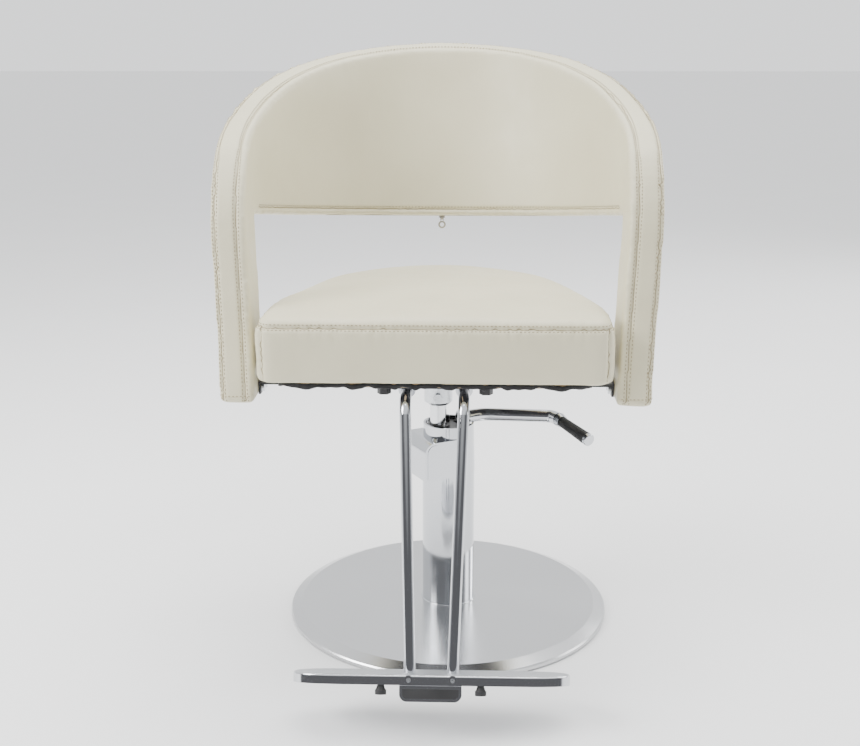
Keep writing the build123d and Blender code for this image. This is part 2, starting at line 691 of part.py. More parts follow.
# ---------------------------------------------------------------- arm brackets
def arm_brackets():
    low = BRACKET_BOLT_Z - 8
    y = (BRACKET_FRONT_Y, BRACKET_BACK_Y)
    leg = block((PLATE_HALF_X - 30, BRACKET_X + BRACKET_T), y, (BRACKET_Z, PLATE_Z))
    leg += block((BRACKET_X, BRACKET_X + BRACKET_T), y, (low, PLATE_Z))
    for bolt_y in BRACKET_BOLT_Y:
        leg -= Pos(BRACKET_X, bolt_y, BRACKET_BOLT_Z) * ACROSS * rod(3.0, -5, 10)
        leg -= Pos(PLATE_HALF_X - 15, bolt_y, 0) * rod(3.0, BRACKET_Z - 1, PLATE_Z + 1)
    return SEAT * together(both_arms([leg]))


def arm_bolts():
    head = Rot(0, 0, 90) * hexagon(10, -BRACKET_T - 4.5, -BRACKET_T)
    bolt = ACROSS * (head + rod(3.0, -BRACKET_T, ARM_BOLT_REACH))
    return SEAT * together(arm_bolt_places(bolt))


def bracket_screws():
    screw = hexagon(10, BRACKET_Z - 4, BRACKET_Z) + rod(3.0, BRACKET_Z, DUST_Z)
    return SEAT * together(bracket_bolt_places(screw))


# ---------------------------------------------------------------- zipper under the backrest
def bottom_line(y):
    """Height of the backrest's lower edge at a depth y."""
    corner, rear = profile_point(WINDOW_CORNER, 0), profile_point(REAR_LOW, 0)
    return corner[1] + (rear[1] - corner[1]) / (rear[0] - corner[0]) * (y - corner[0])


def zipper_chain():
    near, far = (0, bottom_line(0)), (400, bottom_line(400))
    band = Polyline(near, far, (far[0], far[1] - ZIP_T), (near[0], near[1] - ZIP_T), close=True)
    strip = hoop_wall(ZIP_INSET - 3, ZIP_INSET + 3) & across_slab(make_face(band))
    return SEAT * (strip & Box(2 * ZIP_HALF_X, 2000, 4000))


def zip_place():
    """Where the slider sits: under the zipper at the middle of the backrest."""
    low_share = (bottom_line(200) - HOOP_LOW_Z) / (HOOP_HIGH_Z - HOOP_LOW_Z)
    y = HOOP_BACK_Y_LOW + low_share * (HOOP_BACK_Y_HIGH - HOOP_BACK_Y_LOW) - ZIP_INSET
    return Pos(0, y, bottom_line(y) - ZIP_T)


def zipper_slider():
    body = block((-5.5, 5.5), (-4, 4), (-3.2, -0.3))
    body = fillet(body.edges().filter_by(Axis.Z), 2.5)
    eye = Pos(0, 0, -4.6) * ACROSS * (Cylinder(2.4, 3) - Cylinder(1.1, 4))
    return SEAT * zip_place() * (body + eye)


def zipper_pull():
    pin = ACROSS * Cylinder(0.9, 5.6)
    side = block((1.8, 2.8), (-1.2, 1.2), (-4.5, 0.6))
    tab = Pos(0, 0, -10.5) * ALONG_Y * (Cylinder(6.4, 1.8) - Cylinder(3.6, 3))
    cheeks = side + mirror(side, Plane.YZ)
    return SEAT * zip_place() * Pos(0, 0, -4.6) * (pin + cheeks + tab)


# ---------------------------------------------------------------- footrest
def both_sides(x, shape):
    """A shape at +x and at -x."""
    return [Pos(x, 0, 0) * shape, Pos(-x, 0, 0) * shape]


def footrest_sockets():
    middle = (FOOT_SOCKET_FRONT_Y + FOOT_SOCKET_BACK_Y) / 2
    length = FOOT_SOCKET_BACK_Y - FOOT_SOCKET_FRONT_Y
    socket = ALONG_Y * (Cylinder(FOOT_SOCKET_R, length) - Cylinder(TUBE_R, length + 2))
    socket = Pos(0, middle, FOOT_AXIS_Z) * socket
    socket -= Pos(0, FOOT_SOCKET_BACK_Y - 30, 0) * rod(3.0, PLATE_Z - 40, FOOT_AXIS_Z)
    return SEAT * together(both_sides(FOOT_SOCKET_X, socket))


def footrest_bridge():
    y = (FOOT_SOCKET_FRONT_Y + 4, FOOT_SOCKET_FRONT_Y + 26)
    bar = block((-FOOT_SOCKET_X, FOOT_SOCKET_X), y, (PLATE_Z - 8, PLATE_Z))
    for hole in both_sides(FOOT_SOCKET_X, Pos(0, -100, FOOT_AXIS_Z) * ALONG_Y * Cylinder(FOOT_SOCKET_R, 200)):
        bar -= hole
    return SEAT * bar


def footrest_screws():
    low = FOOT_AXIS_Z - FOOT_SOCKET_R
    screw = hexagon(10, low - 4.5, low) + rod(3.0, low, FOOT_AXIS_Z - TUBE_R)
    screw = Pos(0, FOOT_SOCKET_BACK_Y - 30, 0) * screw
    return SEAT * together(both_sides(FOOT_SOCKET_X, screw))


def leg_path(side):
    """Centre line of one footrest tube, from inside its socket down into the footplate."""
    start = Vector(side * FOOT_SOCKET_X, FOOT_SOCKET_BACK_Y, FOOT_AXIS_Z)
    corner = Vector(side * FOOT_SOCKET_X, TUBE_CORNER_Y, FOOT_AXIS_Z)
    foot = Vector(side * FOOT_X, FOOT_Y, FOOT_Z)
    end = foot + (foot - corner).normalized() * (FOOT_T - 2)
    return FilletPolyline(start, corner, end, radius=TUBE_BEND_R)


def leg_solid(side, radius):
    path = leg_path(side)
    return sweep(Plane(path @ 0, z_dir=path % 0) * Circle(radius), path)


def footrest_tube(side):
    return SEAT * (leg_solid(side, TUBE_R) - leg_solid(side, TUBE_R - TUBE_WALL))


def wing_outline(inset):
    """Plan of the footplate: long wings with leaf-shaped ends."""
    front, back = -FOOT_FRONT + inset, FOOT_BACK - inset
    tip = FOOT_HALF_SPAN - inset
    bend = FOOT_HALF_SPAN - 72
    right = Spline((bend, front), (tip, 3), (bend, back), tangents=[(1, 0), (-1, 0)])
    left = Spline((-bend, back), (-tip, 3), (-bend, front), tangents=[(-1, 0), (1, 0)])
    return make_face(Line((-bend, front), (bend, front)) + right + Line((bend, back), (-bend, back)) + left)


def footplate():
    plate = extrude(wing_outline(0), -FOOT_T)
    plate = fillet(plate.edges().group_by(Axis.Z)[-1], 2.5)
    plate -= extrude(Pos(0, 0, -4) * wing_outline(FOOT_WALL), -FOOT_T)
    for boss in both_sides(FOOT_X, rod(FOOT_BOSS_R, -FOOT_T, -1)):
        plate += boss
    front = -FOOT_FRONT
    for nose in both_sides(FOOT_X, Pos(0, front / 2 - 1, -FOOT_T / 2) * ALONG_Y * Cylinder(6.3, -front + 1)):
        plate += nose
    for boss in both_sides(BUMPER_X, Pos(0, front + 8, 0) * rod(6.5, -FOOT_T, -3)):
        plate += boss
    tab = block((-TAB_HALF_X, TAB_HALF_X), (front - 2, front + 4), (-TAB_H, -FOOT_T / 2 - 7))
    tab += block((-TAB_HALF_X, TAB_HALF_X), (front, front + 4), (-FOOT_T - 1, -4))
    tab = fillet(tab.edges().filter_by(Axis.Y).group_by(Axis.Z)[0], 10)
    plate += tab
    plate -= badge_block(0, 1)
    for hole in both_sides(FOOT_X, Pos(0, front / 2 - 4, -FOOT_T / 2) * ALONG_Y * Cylinder(3, -front)):
        plate -= hole
    for hole in both_sides(BUMPER_X, Pos(0, front + 8, 0) * rod(2.5, -FOOT_T - 1, -5)):
        plate -= hole
    placed = FOOT_FRAME * plate
    for side in (-1, 1):
        placed -= leg_solid(side, TUBE_R)
    return SEAT * placed


def badge_block(shrink, proud):
    half = TAB_HALF_X - 4 - shrink
    front = -FOOT_FRONT - 2
    pad = block((-half, half), (front - proud, front + 2), (-TAB_H + 4 + shrink, -FOOT_T / 2 - 11 - shrink))
    return fillet(pad.edges().filter_by(Axis.Y).group_by(Axis.Z)[0], 6)


def footplate_badge_pad():
    return SEAT * (FOOT_FRAME * badge_block(0, 0.8))


def footplate_screws():
    reach = FOOT_FRONT - TUBE_R
    screw = Pos(0, -(FOOT_FRONT + TUBE_R) / 2, -FOOT_T / 2) * ALONG_Y * Cylinder(3, reach)
    screw -= Pos(0, -FOOT_FRONT, -FOOT_T / 2) * ALONG_Y * hexagon(3, -3, 3)
    return SEAT * (FOOT_FRAME * together(both_sides(FOOT_X, screw)))


def footplate_bumpers():
    stud = rod(2.5, -FOOT_T, -5) + cone(6.5, 4.2, -FOOT_T - 7, -FOOT_T) + rod(7.5, -FOOT_T - 13, -FOOT_T - 7)
    stud = Pos(0, -FOOT_FRONT + 8, 0) * stud
    return SEAT * (FOOT_FRAME * together(both_sides(BUMPER_X, stud)))


def build_all():
    parts = {
        "floor_pad": floor_pad(),
        "base_weight": base_weight(),
        "base_cover": base_cover(),
        "base_bolts": base_bolts(),
        "column_trim_ring": column_trim_ring(),
        "column_cover": column_cover(),
        "oil_tank": oil_tank(),
        "main_cylinder": main_cylinder(),
        "plunger_barrel": plunger_barrel(),
        "pump_head": pump_head(),
        "rod_guide_bush": rod_guide_bush(),
        "rod_seal": rod_seal(),
        "head_cover": head_cover(),
        "head_cap": head_cap(),
        "oil_filler_plug": oil_filler_plug(),
        "lever_pivot_pin": lever_pivot_pin(),
        "pump_plunger": pump_plunger(),
        "plunger_spring": plunger_spring(),
        "lever_yoke": lever_yoke(),
        "lever_arm": lever_arm(),
        "lever_ferrule": lever_ferrule(),
        "lever_grip": lever_grip(),
        "lever_tip_cap": lever_tip_cap(),
        "piston_head": piston_head(),
        "piston_seals": piston_seals(),
        "thrust_bearing": thrust_bearing(),
        "piston_rod": piston_rod(),
        "swivel_socket": swivel_socket(),
        "socket_set_screw": socket_set_screw(),
        "seat_plate": seat_plate(),
        "seat_plate_bolts": seat_plate_bolts(),
        "dust_cover": dust_cover(),
        "seat_board": seat_board(),
        "seat_cushion": seat_cushion(),
        "hoop_board": hoop_board(),
        "hoop_pad": hoop_pad(),
        "arm_brackets": arm_brackets(),
        "arm_bolts": arm_bolts(),
        "bracket_screws": bracket_screws(),
        "zipper_chain": zipper_chain(),
        "zipper_slider": zipper_slider(),
        "zipper_pull": zipper_pull(),
        "footrest_sockets": footrest_sockets(),
        "footrest_bridge": footrest_bridge(),
        "footrest_screws": footrest_screws(),
        "footrest_tube_left": footrest_tube(-1),
        "footrest_tube_right": footrest_tube(1),
        "footplate": footplate(),
        "footplate_badge_pad": footplate_badge_pad(),
        "footplate_screws": footplate_screws(),
        "footplate_bumpers": footplate_bumpers(),
    }
    return parts


os.makedirs("parts", exist_ok=True)
for name, shape in build_all().items():
    export_step(shape, f"parts/{name}.step")
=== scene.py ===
"""Looks for the salon styling chair: upholstery, stitching, metal finishes, floor, lights and camera."""

import json
import math

import bmesh
import bpy
import numpy as np
from mathutils import Matrix, Vector, noise
from mathutils.bvhtree import BVHTree
from mathutils.kdtree import KDTree


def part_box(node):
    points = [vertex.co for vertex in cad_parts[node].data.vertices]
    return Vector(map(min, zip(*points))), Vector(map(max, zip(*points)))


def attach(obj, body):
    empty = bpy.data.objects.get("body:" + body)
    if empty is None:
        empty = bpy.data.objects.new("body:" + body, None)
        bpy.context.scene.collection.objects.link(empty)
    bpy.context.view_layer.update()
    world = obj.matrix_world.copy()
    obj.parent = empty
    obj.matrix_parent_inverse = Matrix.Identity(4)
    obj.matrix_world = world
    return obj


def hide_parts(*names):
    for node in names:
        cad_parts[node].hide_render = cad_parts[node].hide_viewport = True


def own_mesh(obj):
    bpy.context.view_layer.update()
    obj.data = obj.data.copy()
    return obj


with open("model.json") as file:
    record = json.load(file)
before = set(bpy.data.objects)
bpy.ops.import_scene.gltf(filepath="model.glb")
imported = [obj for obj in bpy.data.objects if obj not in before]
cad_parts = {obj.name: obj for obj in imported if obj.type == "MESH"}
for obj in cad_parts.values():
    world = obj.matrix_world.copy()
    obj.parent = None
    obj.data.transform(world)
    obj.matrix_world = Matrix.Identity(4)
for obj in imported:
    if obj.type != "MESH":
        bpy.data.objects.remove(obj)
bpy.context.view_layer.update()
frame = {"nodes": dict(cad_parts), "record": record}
nodes = frame["nodes"]
scene = bpy.context.scene


rod_low, rod_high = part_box("piston_rod")
SX, SY, _ = (rod_low + rod_high) / 2  # the swivel axis, which the hoop is drawn about


# ------------------------------------------------------------------ materials
def material(name, color, metallic=0.0, roughness=0.5):
    mat = bpy.data.materials.new(name)
    mat.use_nodes = True
    shader = mat.node_tree.nodes["Principled BSDF"]
    shader.inputs["Base Color"].default_value = (*color, 1)
    shader.inputs["Metallic"].default_value = metallic
    shader.inputs["Roughness"].default_value = roughness
    return mat, mat.node_tree, shader


def add(tree, kind, **settings):
    node = tree.nodes.new(kind)
    for key, value in settings.items():
        if key in node.inputs:
            node.inputs[key].default_value = value
        else:
            setattr(node, key, value)
    return node


def coords(tree, scale=(1, 1, 1)):
    """Object coordinates, in metres, stretched by scale."""
    source = add(tree, "ShaderNodeTexCoord")
    mapping = add(tree, "ShaderNodeMapping", Scale=scale)
    tree.links.new(source.outputs["Object"], mapping.inputs["Vector"])
    return mapping.outputs["Vector"]


def texture(tree, kind, vector, **settings):
    node = add(tree, kind, **settings)
    tree.links.new(vector, node.inputs["Vector"])
    return node


def spread(tree, source, low, high, start=0.3, end=0.7):
    """A texture's value, mapped on to a range."""
    ramp = add(tree, "ShaderNodeMapRange")
    ramp.inputs["From Min"].default_value = start
    ramp.inputs["From Max"].default_value = end
    ramp.inputs["To Min"].default_value = low
    ramp.inputs["To Max"].default_value = high
    tree.links.new(source, ramp.inputs["Value"])
    return ramp.outputs["Result"]


def two_colours(tree, source, first, second, shader):
    ramp = add(tree, "ShaderNodeValToRGB")
    ramp.color_ramp.elements[0].position = 0.3
    ramp.color_ramp.elements[1].position = 0.7
    ramp.color_ramp.elements[0].color = (*first, 1)
    ramp.color_ramp.elements[1].color = (*second, 1)
    tree.links.new(source, ramp.inputs["Fac"])
    tree.links.new(ramp.outputs["Color"], shader.inputs["Base Color"])


def bumps(tree, shader, layers):
    """Stacks bump layers, each (height socket, distance in metres, strength)."""
    normal = None
    for height, distance, strength in layers:
        bump = add(tree, "ShaderNodeBump", Distance=distance, Strength=strength)
        tree.links.new(height, bump.inputs["Height"])
        if normal is not None:
            tree.links.new(normal, bump.inputs["Normal"])
        normal = bump.outputs["Normal"]
    tree.links.new(normal, shader.inputs["Normal"])


def vinyl_material():
    mat, tree, shader = material("cream_vinyl", (0.78, 0.74, 0.60), roughness=0.42)
    at = coords(tree)
    cloud = texture(tree, "ShaderNodeTexNoise", at, Scale=9.0, Detail=4.0)
    two_colours(tree, cloud.outputs["Fac"], (0.655, 0.61, 0.435), (0.70, 0.655, 0.475), shader)
    pebble = texture(tree, "ShaderNodeTexVoronoi", at, Scale=950.0, feature="SMOOTH_F1")
    hide = texture(tree, "ShaderNodeTexNoise", at, Scale=380.0, Detail=3.0)
    creases = texture(tree, "ShaderNodeTexNoise", at, Scale=32.0, Detail=5.0)
    tree.links.new(spread(tree, creases.outputs["Fac"], 0.36, 0.50), shader.inputs["Roughness"])
    bumps(tree, shader, [
        (creases.outputs["Fac"], 0.0012, 0.25),
        (hide.outputs["Fac"], 0.0003, 0.35),
        (pebble.outputs["Distance"], 0.00025, 0.5),
    ])
    shader.inputs["Specular IOR Level"].default_value = 0.45
    return mat


def thread_material():
    mat, tree, shader = material("cream_thread", (0.72, 0.68, 0.58), roughness=0.7)
    strands = texture(tree, "ShaderNodeTexNoise", coords(tree), Scale=900.0, Detail=2.0)
    two_colours(tree, strands.outputs["Fac"], (0.30, 0.245, 0.145), (0.42, 0.35, 0.22), shader)
    return mat


def chrome_material(name, roughness=0.05, tint=(0.56, 0.575, 0.60)):
    mat, tree, shader = material(name, tint, metallic=1.0, roughness=roughness)
    at = coords(tree)
    smear = texture(tree, "ShaderNodeTexNoise", at, Scale=26.0, Detail=6.0)
    shine = spread(tree, smear.outputs["Fac"], roughness, roughness + 0.07)
    tree.links.new(shine, shader.inputs["Roughness"])
    wave = texture(tree, "ShaderNodeTexNoise", at, Scale=70.0, Detail=2.0)
    bumps(tree, shader, [(wave.outputs["Fac"], 0.0004, 0.05)])
    return mat


def cast_chrome_material():
    """Bright plating over a casting whose level tops carry a stippled tread."""
    mat, tree, shader = material("cast_chrome", (0.57, 0.58, 0.60), metallic=1.0, roughness=0.16)
    at = coords(tree)
    dots = texture(tree, "ShaderNodeTexVoronoi", at, Scale=330.0)
    level = add(tree, "ShaderNodeNewGeometry")
    split = add(tree, "ShaderNodeSeparateXYZ")
    tree.links.new(level.outputs["Normal"], split.inputs["Vector"])
    mask = spread(tree, split.outputs["Z"], 0.0, 1.0, start=0.85, end=0.9)
    height = add(tree, "ShaderNodeMath", operation="MULTIPLY")
    tree.links.new(dots.outputs["Distance"], height.inputs[0])
    tree.links.new(mask, height.inputs[1])
    grain = texture(tree, "ShaderNodeTexNoise", at, Scale=420.0, Detail=3.0)
    rough = add(tree, "ShaderNodeMath", operation="MULTIPLY_ADD")
    tree.links.new(mask, rough.inputs[0])
    rough.inputs[1].default_value = 0.22
    rough.inputs[2].default_value = 0.10
    tree.links.new(rough.outputs["Value"], shader.inputs["Roughness"])
    bumps(tree, shader, [(grain.outputs["Fac"], 0.0002, 0.15), (height.outputs["Value"], 0.0016, 0.8)])
    return mat


def spun_steel_material():
    """Stainless sheet brushed in circles about the base's centre."""
    mat, tree, shader = material("spun_stainless", (0.62, 0.625, 0.635), metallic=1.0, roughness=0.16)
    at = coords(tree)
    rings = texture(tree, "ShaderNodeTexWave", at, wave_type="RINGS", rings_direction="Z", Scale=260.0,
                    Distortion=1.2, Detail=3.0)
    rings.inputs["Detail Scale"].default_value = 3.0
    smear = texture(tree, "ShaderNodeTexNoise", at, Scale=14.0, Detail=5.0)
    tree.links.new(spread(tree, smear.outputs["Fac"], 0.13, 0.19), shader.inputs["Roughness"])
    bumps(tree, shader, [(rings.outputs["Fac"], 0.00003, 0.2)])
    tangent = add(tree, "ShaderNodeTangent", direction_type="RADIAL", axis="Z")
    tree.links.new(tangent.outputs["Tangent"], shader.inputs["Tangent"])
    shader.inputs["Anisotropic"].default_value = 0.9
    return mat


def turned_steel_material(name, tint, roughness):
    mat, tree, shader = material(name, tint, metallic=1.0, roughness=roughness)
    at = coords(tree, scale=(1, 1, 12))
    lines = texture(tree, "ShaderNodeTexNoise", at, Scale=220.0, Detail=4.0)
    shine = spread(tree, lines.outputs["Fac"], roughness * 0.8, roughness * 1.3)
    tree.links.new(shine, shader.inputs["Roughness"])
    bumps(tree, shader, [(lines.outputs["Fac"], 0.0001, 0.2)])
    return mat


def painted_material(name, first, second, roughness, grain, depth):
    """Powder coat, moulded plastic, rubber or sand casting, told apart by grain and roughness."""
    mat, tree, shader = material(name, first, roughness=roughness)
    at = coords(tree)
    cloud = texture(tree, "ShaderNodeTexNoise", at, Scale=30.0, Detail=5.0)
    two_colours(tree, cloud.outputs["Fac"], first, second, shader)
    shine = spread(tree, cloud.outputs["Fac"], roughness - 0.06, roughness + 0.08)
    tree.links.new(shine, shader.inputs["Roughness"])
    skin = texture(tree, "ShaderNodeTexNoise", at, Scale=grain, Detail=3.0)
    bumps(tree, shader, [(skin.outputs["Fac"], depth, 0.5)])
    return mat


def plywood_material():
    mat, tree, shader = material("plywood", (0.6, 0.45, 0.28), roughness=0.6)
    at = coords(tree, scale=(1, 6, 60))
    veins = texture(tree, "ShaderNodeTexNoise", at, Scale=18.0, Detail=6.0)
    two_colours(tree, veins.outputs["Fac"], (0.50, 0.36, 0.21), (0.72, 0.56, 0.37), shader)
    bumps(tree, shader, [(veins.outputs["Fac"], 0.0003, 0.3)])
    return mat


def cloth_material(name, first, second, threads):
    mat, tree, shader = material(name, first, roughness=0.9)
    at = coords(tree)
    weave = texture(tree, "ShaderNodeTexVoronoi", at, Scale=threads)
    two_colours(tree, weave.outputs["Distance"], first, second, shader)
    bumps(tree, shader, [(weave.outputs["Distance"], 0.0004, 0.5)])
    shader.inputs["Sheen Weight"].default_value = 0.2
    return mat


VINYL = vinyl_material()
THREAD = thread_material()
FINISHES = {
    "stainless": spun_steel_material(),
    "chrome": chrome_material("bright_chrome"),
    "cast_chrome": cast_chrome_material(),
    "raw_steel": turned_steel_material("machined_steel", (0.55, 0.56, 0.58), 0.3),
    "ground_rod": turned_steel_material("ground_rod", (0.72, 0.73, 0.74), 0.12),
    "zinc_steel": turned_steel_material("zinc_plate", (0.66, 0.68, 0.70), 0.28),
    "black_steel": painted_material("black_powder_coat", (0.018, 0.018, 0.019), (0.03, 0.03, 0.031),
                                    0.42, 600, 0.0002),
    "cast_base": painted_material("black_casting", (0.03, 0.03, 0.03), (0.05, 0.05, 0.05), 0.6, 260, 0.0008),
    "cast_head": painted_material("grey_casting", (0.20, 0.20, 0.21), (0.28, 0.28, 0.28), 0.5, 300, 0.0006),
    "bronze": turned_steel_material("bearing_bronze", (0.60, 0.42, 0.20), 0.3),
    "black_rubber": painted_material("black_rubber", (0.016, 0.016, 0.017), (0.028, 0.028, 0.029),
                                     0.55, 500, 0.0002),
    "black_plastic": painted_material("black_plastic", (0.008, 0.008, 0.009), (0.014, 0.014, 0.015),
                                      0.3, 700, 0.0001),
    "cream_vinyl": VINYL,
    "plywood": plywood_material(),
    "dust_cloth": cloth_material("black_dust_cloth", (0.008, 0.008, 0.009), (0.02, 0.02, 0.021), 1200.0),
    "cream_zip": cloth_material("zip_tape", (0.66, 0.62, 0.52), (0.76, 0.72, 0.62), 1500.0),
    "zip_metal": chrome_material("zip_metal", roughness=0.2, tint=(0.62, 0.60, 0.57)),
}
for part in frame["record"]["subparts"]:
    shown = nodes[part["node"]]
    shown.data.materials.clear()
    shown.data.materials.append(FINISHES[part["material_slot"]])


# ------------------------------------------------------------------ mesh tools
def new_object(name, mesh, finish):
    piece = bpy.data.objects.new(name, mesh)
    scene.collection.objects.link(piece)
    piece.data.materials.clear()
    piece.data.materials.append(finish)
    for face in piece.data.polygons:
        face.use_smooth = True
    return piece


def positions(mesh):
    out = np.empty(len(mesh.vertices) * 3)
    mesh.vertices.foreach_get("co", out)
    return out.reshape(-1, 3)


def normals(mesh):
    out = np.empty(len(mesh.vertices) * 3, np.float32)
    mesh.vertex_normals.foreach_get("vector", out)
    return out.reshape(-1, 3)


def put(mesh, points):
    mesh.vertices.foreach_set("co", points.astype(np.float32).ravel())
    mesh.update()


def baked(piece):
    """Replaces a piece's mesh by what its modifiers make of it."""
    graph = bpy.context.evaluated_depsgraph_get()
    mesh = bpy.data.meshes.new_from_object(piece.evaluated_get(graph))
    old = piece.data
    piece.modifiers.clear()
    piece.data = mesh
    bpy.data.meshes.remove(old)
    return piece


def soft_copy(name, sources, voxel, rounds, finish):
    """One closed skin around some CAD solids, with its edges softened."""
    joined = bmesh.new()
    for source in sources:
        joined.from_mesh(nodes[source].data)
    bmesh.ops.remove_doubles(joined, verts=joined.verts, dist=1e-6)
    mesh = bpy.data.meshes.new(name)
    joined.to_mesh(mesh)
    joined.free()
    piece = new_object(name, mesh, finish)
    remesh = piece.modifiers.new("remesh", "REMESH")
    remesh.mode = "VOXEL"
    remesh.voxel_size = voxel
    smooth = piece.modifiers.new("smooth", "SMOOTH")
    smooth.iterations = rounds
    smooth.factor = 0.5
    baked(piece)
    for face in piece.data.polygons:
        face.use_smooth = True
    return piece


def refine(piece):
    divide = piece.modifiers.new("divide", "SUBSURF")
    divide.levels = divide.render_levels = 1
    baked(piece)


def surface_tree(piece):
    mesh = piece.data
    return BVHTree.FromPolygons([v.co for v in mesh.vertices], [tuple(f.vertices) for f in mesh.polygons])


def resample(points, step):
    """Points a fixed distance apart along a polyline."""
    points = np.asarray(points, float)
    runs = np.linalg.norm(np.diff(points, axis=0), axis=1)
    along = np.concatenate([[0], np.cumsum(runs)])
    count = max(2, int(round(along[-1] / step)) + 1)
    at = np.linspace(0, along[-1], count)
    return np.stack([np.interp(at, along, points[:, k]) for k in range(3)], axis=1)


def on_surface(tree, points):
    """Each point moved to the nearest place on a surface, with the surface's normal there."""
    places, facing = [], []
    for point in points:
        place, normal, _, _ = tree.find_nearest(Vector(point))
        places.append(place)
        facing.append(normal)
    return np.array(places), np.array(facing)


def distance_to(points, lines):
    """Distance from each point to the nearest of some polylines' points."""
    spots = np.concatenate(lines)
    tree = KDTree(len(spots))
    for index, spot in enumerate(spots):
        tree.insert(spot, index)
    tree.balance()
    found = [tree.find(point) for point in points]
    return np.array([f[2] for f in found]), np.array([f[1] for f in found])


def stitch_row(builder, tree, line, pitch=0.0056, length=0.0036, radius=0.00078):
    """A row of separate sewn stitches lying on a surface along a line."""
    spots, facing = on_surface(tree, resample(line, pitch))
    for index in range(len(spots) - 1):
        along = Vector(spots[index + 1] - spots[index])
        if along.length < 1e-5:
            continue
        along.normalize()
        up = Vector(facing[index])
        side = along.cross(up).normalized()
        up = side.cross(along).normalized()
        middle = Vector((spots[index] + spots[index + 1]) / 2) + up * radius * 0.35
        turn = Matrix((side, up, along)).transposed().to_4x4()
        shape = Matrix.Diagonal((radius, radius * 0.8, length / 2, 1))
        place = Matrix.Translation(middle) @ turn @ shape
        bmesh.ops.create_icosphere(builder, subdivisions=1, radius=1.0, matrix=place)


def seam_cord(builder, tree, line, radius=0.0007, sides=6):
    """The dark line where two panels of vinyl meet, as a fine cord half sunk in the surface."""
    spots, facing = on_surface(tree, resample(line, 0.004))
    previous = None
    for index in range(len(spots)):
        ahead, behind = spots[min(index + 1, len(spots) - 1)], spots[max(index - 1, 0)]
        along, up = Vector(ahead - behind), Vector(facing[index])
        if along.length < 1e-6:
            continue
        side = along.normalized().cross(up).normalized()
        middle = Vector(spots[index]) - up * radius * 0.3
        turns = [2 * math.pi * k / sides for k in range(sides)]
        loop = [builder.verts.new(middle + (side * math.cos(t) + up * math.sin(t)) * radius) for t in turns]
        if previous:
            for k in range(sides):
                builder.faces.new((previous[k], previous[k - 1], loop[k - 1], loop[k]))
        previous = loop


def stitches(name, piece, lines, seams=()):
    tree = surface_tree(piece)
    builder = bmesh.new()
    for line in lines:
        stitch_row(builder, tree, line)
    for line in seams:
        seam_cord(builder, tree, line)
    mesh = bpy.data.meshes.new(name)
    builder.to_mesh(mesh)
    builder.free()
    return new_object(name, mesh, THREAD)


# ------------------------------------------------------------------ hoop outline
THICK = 0.048
LOW_Z, HIGH_Z = 0.380, 0.950
HALF_LOW, HALF_HIGH = 0.3006, 0.3302
BACK_LOW, BACK_HIGH = 0.194, 0.379
BEND_Y = -0.051
FRONT_EDGE = [(-0.215, 0.407), (-0.147, 0.640)]
TOP_EDGE = [(-0.147, 0.640), (-0.137, 0.672), (-0.118, 0.706), (-0.091, 0.736), (-0.052, 0.762),
            (0.004, 0.789),
            (0.070, 0.817), (0.146, 0.845), (0.230, 0.871), (0.315, 0.894), (0.385, 0.911)]
WINDOW = (-0.057, 0.655)
REAR_LOW = (0.290, 0.611)
BACK_FOOT = (-0.128, 0.407)
SEAT_SEAM_Z = 0.5215


def edge_height(y):
    ys = [p[0] for p in FRONT_EDGE[:1] + TOP_EDGE]
    zs = [p[1] for p in FRONT_EDGE[:1] + TOP_EDGE]
    return float(np.interp(y, ys, zs))


def bottom_height(y):
    share = (y - WINDOW[0]) / (REAR_LOW[0] - WINDOW[0])
    return WINDOW[1] + share * (REAR_LOW[1] - WINDOW[1])


def bow(x, z):
    """How far sideways the stuffed arms belly out, at a distance from the swivel axis and a height."""
    belly = 0.0046 * np.exp(-((z - 0.655) / 0.13) ** 2) * np.clip(np.abs(x) / 0.2 - 0.2, 0, 1)
    return np.sign(x) * belly


def wall_sizes(z, depth):
    share = (z - LOW_Z) / (HIGH_Z - LOW_Z)
    half = HALF_LOW + share * (HALF_HIGH - HALF_LOW) - depth
    back = BACK_LOW + share * (BACK_HIGH - BACK_LOW) - depth
    return half, back


def wall_point(turn, depth, height):
    """A point of the wall at a plan angle from the right side, where height gives z from y."""
    z = 0.75
    for _ in range(30):
        half, back = wall_sizes(z, depth)
        x, y = half * math.cos(turn), BEND_Y + (back - BEND_Y) * math.sin(turn)
        z = height(y)
    return (x + bow(x, z) + SX, y + SY, z)


def arm_line(side, depth, start, end, count=60):
    """A line down an arm at a depth in the wall, between two (y, z) points."""
    out = []
    for t in np.linspace(0, 1, count):
        y, z = start[0] + t * (end[0] - start[0]), start[1] + t * (end[1] - start[1])
        x = side * wall_sizes(z, depth)[0]
        out.append((x + bow(x, z) + SX, y + SY, z))
    return out


def rim_line(depth, low=0.0):
    """Along the front of one arm, over the back and down the other arm, at a depth in the wall."""
    foot = (FRONT_EDGE[0][0] + 0.29 * low, FRONT_EDGE[0][1] + low)
    right = arm_line(1, depth, foot, FRONT_EDGE[1])
    for a, b in zip(TOP_EDGE, TOP_EDGE[1:]):
        if b[0] > BEND_Y:
            b = (BEND_Y, edge_height(BEND_Y))
        right += arm_line(1, depth, a, b, 12)[1:]
        if b[0] >= BEND_Y:
            break
    over = [wall_point(t, depth, edge_height) for t in np.linspace(0, math.pi, 240)]
    left = [(2 * SX - x, y, z) for x, y, z in reversed(right)]
    return right + over[1:-1] + left


def back_line(depth, rise):
    """Along the foot of the backrest at a depth in the wall, some way above its lower edge."""
    turns = np.linspace(0.10, math.pi - 0.10, 200)
    return [wall_point(t, depth, lambda y: bottom_height(y) + rise) for t in turns]


